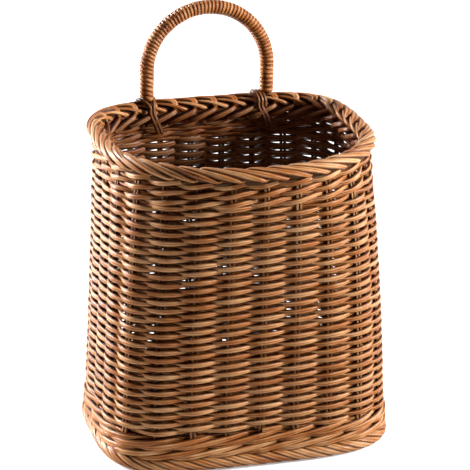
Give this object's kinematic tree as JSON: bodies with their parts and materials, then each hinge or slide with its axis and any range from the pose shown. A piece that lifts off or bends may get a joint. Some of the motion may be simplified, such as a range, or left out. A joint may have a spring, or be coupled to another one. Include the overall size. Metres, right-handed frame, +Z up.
{
  "type": "hanging basket",
  "caption": "Woven wicker wall basket with a squarish foot, an oval-fronted rolled rim and a stiff wrapped handle arch on its back wall for hanging or carrying.",
  "frame": {"origin": "centre of the footprint, on the surface that the basket stands on", "axes": "+Z up, +Y towards the back wall that carries the handle, +X to the right seen from the front"},
  "size_m": [0.2518, 0.2047, 0.3478],
  "materials": {
    "side_weave": "satin",
    "stakes": "satin",
    "border": "satin",
    "base_weave": "satin",
    "wrap": "satin",
    "core": "satin"
  },
  "bodies": {
    "root": {"base_mat": "base_weave", "base_stick_1": "stakes", "base_stick_2": "stakes", "base_stick_3": "stakes", "base_stick_4": "stakes", "base_stick_5": "stakes", "base_stick_6": "stakes", "base_stick_7": "stakes", "foot_border": "border", "foot_wale": "border", "side_weave": "side_weave", "stake_pair_01": "stakes", "stake_pair_02": "stakes", "stake_pair_03": "stakes", "stake_pair_04": "stakes", "stake_pair_05": "stakes", "stake_pair_06": "stakes", "stake_pair_07": "stakes", "stake_pair_08": "stakes", "stake_pair_09": "stakes", "stake_pair_10": "stakes", "stake_pair_11": "stakes", "stake_pair_12": "stakes", "stake_pair_13": "stakes", "stake_pair_14": "stakes", "stake_pair_15": "stakes", "stake_pair_16": "stakes", "stake_pair_17": "stakes", "stake_pair_18": "stakes", "stake_pair_19": "stakes", "stake_pair_20": "stakes", "stake_pair_21": "stakes", "stake_pair_22": "stakes", "stake_pair_23": "stakes", "stake_pair_24": "stakes", "stake_pair_25": "stakes", "top_wale": "border", "rim_border": "border", "handle_core": "core", "handle_wrap": "wrap", "lashing_left": "wrap", "lashing_right": "wrap"}
  },
  "joints": []
}
